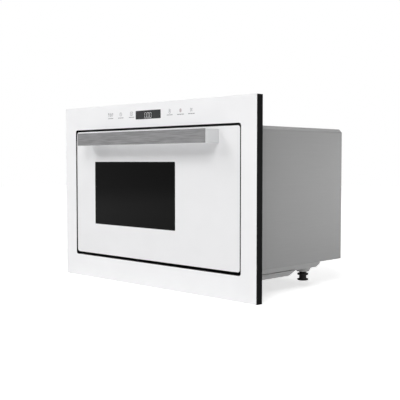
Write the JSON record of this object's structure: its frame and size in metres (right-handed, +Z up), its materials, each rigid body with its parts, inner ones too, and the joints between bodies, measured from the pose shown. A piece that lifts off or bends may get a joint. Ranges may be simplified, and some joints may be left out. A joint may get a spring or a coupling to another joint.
{
  "type": "built-in microwave oven",
  "caption": "White glass built-in microwave with a drop-down door, a bar handle, a strip of touch controls and a sheet-steel body on feet, for a kitchen column.",
  "frame": {"origin": "middle of the front panel's width, on the shelf that the feet stand on, in the cabinet's front plane, which the back of the trim rests on", "axes": "+X to the right seen from the front, +Y back into the cabinet, +Z up"},
  "size_m": [0.594, 0.3692, 0.388],
  "materials": {
    "white_glass": "gloss, white enamel printed on the back",
    "window_glass": "gloss",
    "black_enamel": "satin black powder coat",
    "zinc_steel": "zinc-coated sheet, dull",
    "cavity_enamel": "satin grey powder coat",
    "choke_steel": "satin dark paint",
    "grey_plastic": "moulded, fine texture",
    "black_plastic": "moulded, fine texture",
    "white_plastic": "moulded",
    "handle_metal": "satin light grey paint on die-cast metal",
    "stainless": "brushed along its length",
    "steel_parts": "zinc plated",
    "foot_rubber": "matt black",
    "board_green": "coated circuit board",
    "display_dark": "dark display window",
    "mica_sheet": "pressed mica",
    "lamp_glass": "clear"
  },
  "bodies": {
    "oven": {"back_panel": "zinc_steel", "base_pan": "zinc_steel", "bezel": "grey_plastic", "bezel_screws": "steel_parts", "capacitor": "zinc_steel", "cavity_shell": "cavity_enamel", "control_board": "board_green", "control_housing": "grey_plastic", "cord_gland": "black_plastic", "cover_screws": "steel_parts", "display_module": "display_dark", "door_switches": "black_plastic", "fan_motor": "steel_parts", "fan_shroud": "black_plastic", "filter_board": "board_green", "foot_back_left": "foot_rubber", "foot_back_right": "foot_rubber", "foot_front_left": "foot_rubber", "foot_front_right": "foot_rubber", "front_glass": "white_glass", "front_plate": "zinc_steel", "hinge_bracket_left": "zinc_steel", "hinge_bracket_right": "zinc_steel", "hinge_pins": "steel_parts", "lamp_bulb": "lamp_glass", "lamp_holder": "black_plastic", "latch_housing_left": "black_plastic", "latch_housing_right": "black_plastic", "magnetron": "steel_parts", "outer_cover": "zinc_steel", "port_cover": "mica_sheet", "power_board": "board_green", "touch_contacts": "steel_parts", "transformer_coils": "black_plastic", "transformer_core": "steel_parts", "trim_frame": "black_enamel", "turntable_motor": "zinc_steel", "waveguide": "zinc_steel"},
    "door": {"door_glass": "white_glass", "door_frame": "grey_plastic", "choke_frame": "choke_steel", "screen": "choke_steel", "inner_window": "window_glass", "door_cover": "black_plastic", "handle_body": "handle_metal", "handle_strip": "stainless", "handle_screws": "steel_parts", "hinge_leaf_left": "steel_parts", "hinge_leaf_right": "steel_parts", "door_screws": "steel_parts"},
    "hook_left": {"latch_hook_left": "white_plastic"},
    "hook_right": {"latch_hook_right": "white_plastic"},
    "drive": {"motor_shaft": "steel_parts", "turntable_coupler": "white_plastic"},
    "plate": {"glass_plate": "window_glass"},
    "ring": {"roller_ring": "white_plastic"},
    "wheel_1": {"roller_1": "white_plastic"},
    "wheel_2": {"roller_2": "white_plastic"},
    "wheel_3": {"roller_3": "white_plastic"},
    "fan": {"fan_blade": "black_plastic"}
  },
  "joints": [
    {"name": "door_hinge", "type": "hinge", "parent": "oven", "child": "door", "pos_m": [0, -0.004, 0.052], "axis": [1, 0, 0], "range_deg": [0, 90], "stiffness_Nm_per_rad": 2, "springref_deg": -25.78},
    {"name": "hook_left_tilt", "type": "hinge", "parent": "door", "child": "hook_left", "pos_m": [-0.248, 0.003, 0.29], "axis": [1, 0, 0], "range_deg": [0, 5], "stiffness_Nm_per_rad": 0.1, "springref_deg": -11.46},
    {"name": "hook_right_tilt", "type": "hinge", "parent": "door", "child": "hook_right", "pos_m": [0.248, 0.003, 0.29], "axis": [1, 0, 0], "range_deg": [0, 5], "stiffness_Nm_per_rad": 0.1, "springref_deg": -11.46},
    {"name": "turntable_spin", "type": "hinge", "parent": "oven", "child": "drive", "pos_m": [-0.055, 0.159, 0.08], "axis": [0, 0, 1], "continuous": true},
    {"name": "plate_lift", "type": "slide", "parent": "drive", "child": "plate", "axis": [0, 0, 1], "range_m": [0, 0.03]},
    {"name": "ring_spin", "type": "hinge", "parent": "oven", "child": "ring", "pos_m": [-0.055, 0.159, 0.0817], "axis": [0, 0, 1], "continuous": true},
    {"name": "wheel_1_spin", "type": "hinge", "parent": "ring", "child": "wheel_1", "pos_m": [-0.055, 0.2575, 0.0817], "axis": [0, 1, 0], "continuous": true},
    {"name": "wheel_2_spin", "type": "hinge", "parent": "ring", "child": "wheel_2", "pos_m": [-0.1403, 0.10975, 0.0817], "axis": [-0.866, -0.5, 0], "continuous": true},
    {"name": "wheel_3_spin", "type": "hinge", "parent": "ring", "child": "wheel_3", "pos_m": [0.0303, 0.10975, 0.0817], "axis": [0.866, -0.5, 0], "continuous": true},
    {"name": "fan_spin", "type": "hinge", "parent": "oven", "child": "fan", "pos_m": [0.1932, 0.28, 0.21], "axis": [0, 1, 0], "continuous": true}
  ],
  "couplings": [
    {"joint": "ring_spin", "follows": "turntable_spin", "ratio": 0.5},
    {"joint": "wheel_1_spin", "follows": "turntable_spin", "ratio": -7.0357},
    {"joint": "wheel_2_spin", "follows": "turntable_spin", "ratio": -7.0357},
    {"joint": "wheel_3_spin", "follows": "turntable_spin", "ratio": -7.0357}
  ]
}
